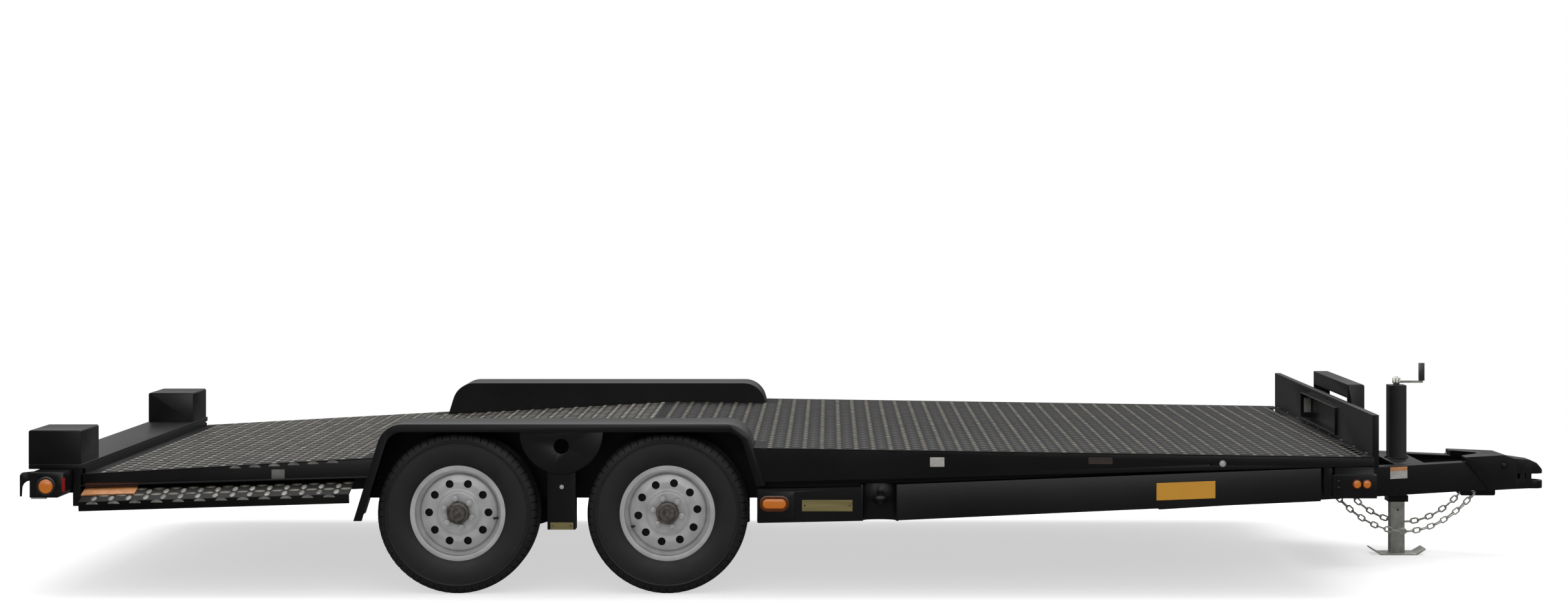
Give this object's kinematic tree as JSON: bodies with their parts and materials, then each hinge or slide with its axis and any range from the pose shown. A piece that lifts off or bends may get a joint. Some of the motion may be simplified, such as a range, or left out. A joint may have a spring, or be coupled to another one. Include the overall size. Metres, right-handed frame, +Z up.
{
  "type": "tandem-axle car trailer",
  "caption": "Flat car trailer with a folded tread-plate deck, paired wheels under fenders, a headboard, an A-frame tongue, a crank jack, a ball coupler and safety chains.",
  "frame": {"origin": "on the ground, at the middle of the trailer's bounding box", "axes": "+X forward to the coupler, +Y to the left-hand side, +Z up"},
  "size_m": [5.96, 2.314, 0.7866],
  "materials": {
    "black_powder_coat": "satin black powder coat on folded steel",
    "tread_plate": "satin black powder coat on embossed tread plate",
    "silver_paint": "satin silver enamel on pressed steel",
    "hub_steel": "silver enamel over cast steel, with plated nuts",
    "zinc_plate": "dull zinc plating",
    "tyre_rubber": "smooth sidewall with a ribbed tread",
    "black_plastic": "moulded black plastic",
    "amber_lens": "glossy amber lens",
    "amber_reflector": "amber reflector with a fine prism pattern",
    "red_lens": "glossy red lens"
  },
  "bodies": {
    "chassis": {"deck_main": "tread_plate", "deck_tail": "tread_plate", "deck_fascia_right": "black_powder_coat", "deck_fascia_left": "black_powder_coat", "side_beam_right": "black_powder_coat", "side_beam_left": "black_powder_coat", "crossmembers": "black_powder_coat", "main_rails": "black_powder_coat", "tail_fascias": "black_powder_coat", "side_steps": "tread_plate", "rear_bumper": "black_powder_coat", "tail_boxes": "black_powder_coat", "lamp_boxes": "black_powder_coat", "rear_hooks": "black_powder_coat", "tail_lamps": "red_lens", "side_reflectors": "amber_reflector", "marker_lamps": "amber_lens", "marker_bezels": "black_plastic", "fender_right": "black_powder_coat", "fender_left": "black_powder_coat", "wheel_well_right": "black_powder_coat", "wheel_well_left": "black_powder_coat", "pivot_posts": "black_powder_coat", "axle_front": "black_powder_coat", "axle_rear": "black_powder_coat", "headboard": "black_powder_coat", "headboard_pocket": "black_powder_coat", "winch_arch": "black_powder_coat", "front_brackets": "black_powder_coat", "tongue_beam_right": "black_powder_coat", "tongue_beam_left": "black_powder_coat", "tongue_ties": "black_powder_coat", "jack_tube": "black_powder_coat", "coupler": "black_powder_coat", "coupler_jaw": "black_powder_coat", "chain_brackets": "black_powder_coat", "safety_chain_right": "zinc_plate", "safety_chain_left": "zinc_plate"},
    "jack_leg": {"jack_leg": "zinc_plate", "jack_foot": "zinc_plate"},
    "crank": {"crank_arm": "zinc_plate", "crank_grip": "black_plastic"},
    "front_right_wheel": {"tyre_front_right": "tyre_rubber", "wheel_front_right": "silver_paint", "hub_front_right": "hub_steel"},
    "front_left_wheel": {"tyre_front_left": "tyre_rubber", "wheel_front_left": "silver_paint", "hub_front_left": "hub_steel"},
    "rear_right_wheel": {"tyre_rear_right": "tyre_rubber", "wheel_rear_right": "silver_paint", "hub_rear_right": "hub_steel"},
    "rear_left_wheel": {"tyre_rear_left": "tyre_rubber", "wheel_rear_left": "silver_paint", "hub_rear_left": "hub_steel"}
  },
  "joints": [
    {"name": "front_right_spin", "type": "hinge", "parent": "chassis", "child": "front_right_wheel", "pos_m": [-0.568, -1.0225, 0.3], "axis": [0, 1, 0], "continuous": true},
    {"name": "front_left_spin", "type": "hinge", "parent": "chassis", "child": "front_left_wheel", "pos_m": [-0.568, 1.0225, 0.3], "axis": [0, 1, 0], "continuous": true},
    {"name": "rear_right_spin", "type": "hinge", "parent": "chassis", "child": "rear_right_wheel", "pos_m": [-1.35, -1.0225, 0.3], "axis": [0, 1, 0], "continuous": true},
    {"name": "rear_left_spin", "type": "hinge", "parent": "chassis", "child": "rear_left_wheel", "pos_m": [-1.35, 1.0225, 0.3], "axis": [0, 1, 0], "continuous": true},
    {"name": "jack_slide", "type": "slide", "parent": "chassis", "child": "jack_leg", "axis": [0, 0, 1], "range_m": [-0.15, 0.19]},
    {"name": "crank_turn", "type": "hinge", "parent": "chassis", "child": "crank", "pos_m": [2.38, 0, 0.7], "axis": [0, 0, 1], "continuous": true}
  ],
  "couplings": [
    {"joint": "crank_turn", "follows": "jack_slide", "rad_per_m": 1257}
  ]
}
